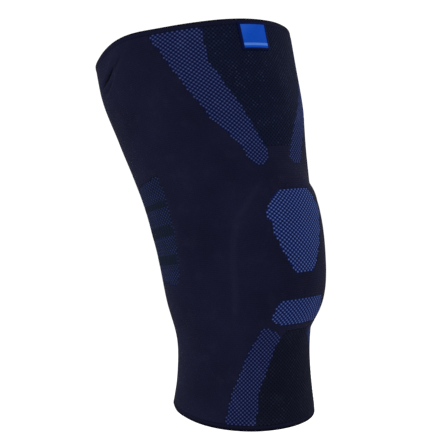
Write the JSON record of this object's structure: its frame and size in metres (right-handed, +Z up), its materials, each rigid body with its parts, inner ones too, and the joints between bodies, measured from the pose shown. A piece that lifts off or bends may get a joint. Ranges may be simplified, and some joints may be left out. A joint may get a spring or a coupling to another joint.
{
  "type": "knee sleeve",
  "caption": "Knitted elastic knee sleeve: a bent hollow tube with a padded kneecap bulge, mesh-knit bands and finished edges.",
  "frame": {"origin": "middle of the hollow at the kneecap's height, on the middle line of the leg", "axes": "+Z up towards the thigh, -Y out through the kneecap, X side to side"},
  "size_m": [0.1551, 0.1985, 0.2966],
  "materials": {
    "plain_knit": "very dark navy fine knit, matt with a soft sheen",
    "panel_knit": "near-black coarse knit, matt",
    "mesh_knit": "blue dots on dark navy mesh knit, matt",
    "hollow_knit": "dark navy ribbed knit with dim blue stripes, matt",
    "welt_knit": "near-black finished edge, fine ribs, matt",
    "woven_label": "bright blue woven label, slight satin"
  },
  "bodies": {
    "root": {"knit_sleeve": "plain_knit", "top_welt": "welt_knit", "bottom_welt": "welt_knit", "thigh_mesh_band_left": "mesh_knit", "thigh_mesh_band_right": "mesh_knit", "thigh_front_panel": "panel_knit", "shin_mesh_band_left": "mesh_knit", "shin_mesh_band_right": "mesh_knit", "shin_front_panel": "panel_knit", "kneecap_mesh": "mesh_knit", "tendon_mesh_band": "mesh_knit", "knee_hollow_mesh": "hollow_knit", "label": "woven_label"}
  },
  "joints": []
}
